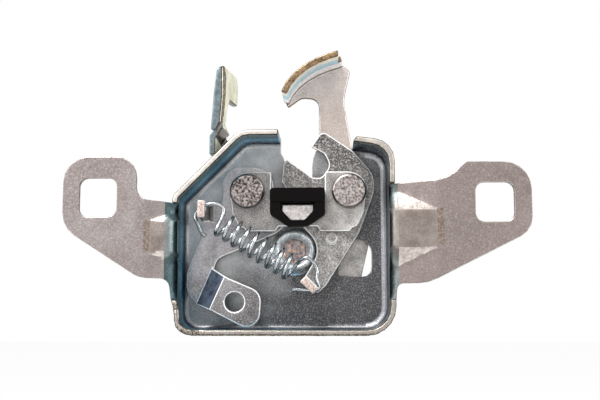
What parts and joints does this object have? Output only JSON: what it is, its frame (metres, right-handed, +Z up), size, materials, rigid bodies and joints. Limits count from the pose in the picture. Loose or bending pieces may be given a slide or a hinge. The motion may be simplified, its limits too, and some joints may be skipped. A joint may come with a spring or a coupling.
{
  "type": "bonnet latch",
  "caption": "Pressed steel bonnet latch with two fixing ears, a rotary claw and pawl joined by an extension spring, a rubber buffer, and a sprung safety hook with a finger lever.",
  "frame": {"origin": "where the seating plane of the two ears crosses the striker's centre line, at the mean height of the two fixing holes", "axes": "+X from the pawl's ear to the claw's ear, +Y from the tray's open side to its floor, +Z up towards the bonnet"},
  "size_m": [0.1471, 0.0294, 0.0914],
  "materials": {
    "zinc_plate": "zinc-plated pressed steel",
    "rivet_steel": "plated cold-headed steel",
    "spring_wire": "bright spring wire",
    "buffer_rubber": "moulded black rubber"
  },
  "bodies": {
    "latch_frame": {"housing": "zinc_plate", "bridge_plate": "zinc_plate", "buffer": "buffer_rubber", "claw_rivet": "rivet_steel", "pawl_rivet": "rivet_steel", "claw_bush": "rivet_steel", "pawl_bush": "rivet_steel", "hook_bush": "rivet_steel", "rear_washer": "zinc_plate", "hook_spring": "spring_wire", "latch_spring": "spring_wire"},
    "claw": {"claw": "zinc_plate"},
    "pawl": {"pawl": "zinc_plate"},
    "safety_hook": {"safety_hook": "zinc_plate"}
  },
  "joints": [
    {"name": "claw_turn", "type": "hinge", "parent": "latch_frame", "child": "claw", "pos_m": [0.0166, 0, 0.0041], "axis": [0, -1, 0], "range_deg": [0, 23], "stiffness_Nm_per_rad": 0.4, "springref_deg": -34.38, "deforming": ["latch_spring"]},
    {"name": "pawl_turn", "type": "hinge", "parent": "latch_frame", "child": "pawl", "pos_m": [-0.0165, 0, 0.0041], "axis": [0, -1, 0], "range_deg": [0, 13], "stiffness_Nm_per_rad": 0.3, "springref_deg": -17.19, "deforming": ["latch_spring"]},
    {"name": "hook_turn", "type": "hinge", "parent": "latch_frame", "child": "safety_hook", "pos_m": [0.0166, 0, 0.0041], "axis": [0, 1, 0], "range_deg": [0, 20], "stiffness_Nm_per_rad": 0.4, "springref_deg": -28.65, "deforming": ["hook_spring"]}
  ]
}
